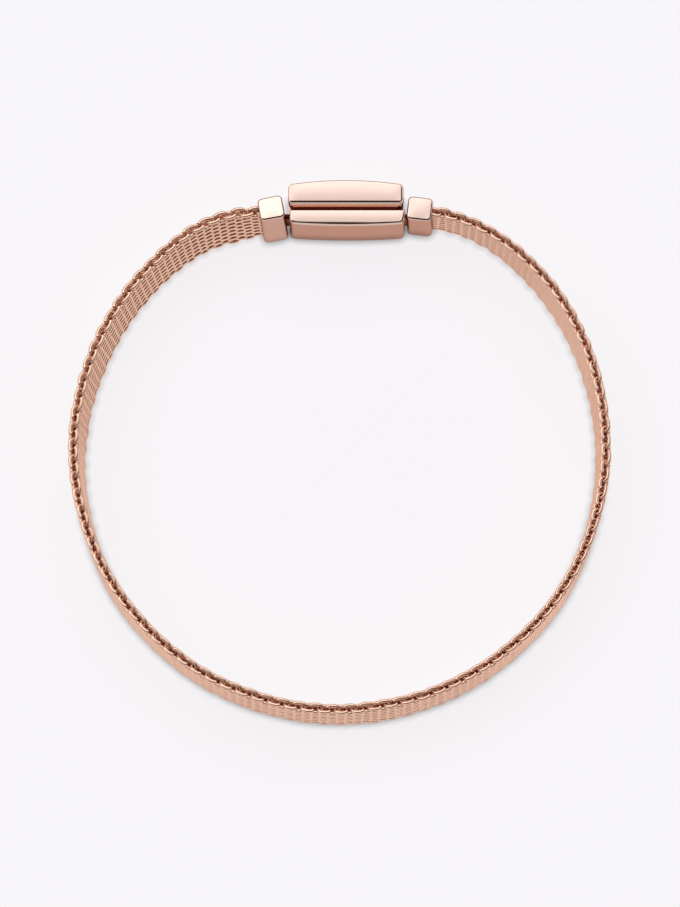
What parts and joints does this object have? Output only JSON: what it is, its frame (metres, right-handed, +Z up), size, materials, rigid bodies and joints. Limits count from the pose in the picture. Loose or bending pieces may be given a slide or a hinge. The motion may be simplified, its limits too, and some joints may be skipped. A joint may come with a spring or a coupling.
{
  "type": "mesh bracelet",
  "caption": "Flexible woven-wire bracelet closed in a ring, with plain polished end caps and a small hinged-lid clasp.",
  "frame": {"origin": "middle of the ring's outline, on the surface that it lies on", "axes": "+Z up across the band's width, from the edge it lies on to the other; +Y from the ring's middle to the clasp; +X from the hinged end of the clasp to its free end"},
  "size_m": [0.059, 0.0588, 0.0086],
  "materials": {
    "rose_gold_mesh": "bright woven wire, rose gold colour",
    "rose_gold_polished": "mirror polished rose gold colour"
  },
  "bodies": {
    "bracelet": {"mesh_band": "rose_gold_mesh", "end_cap_left": "rose_gold_polished", "end_cap_right": "rose_gold_polished", "clasp_base": "rose_gold_polished", "hinge_pin": "rose_gold_polished"},
    "lid": {"clasp_lid": "rose_gold_polished"}
  },
  "joints": [
    {"name": "lid_hinge", "type": "hinge", "parent": "bracelet", "child": "lid", "pos_m": [-0.00468, 0.02798, 0.0042], "axis": [0, 0, 1], "range_deg": [0, 80]}
  ]
}
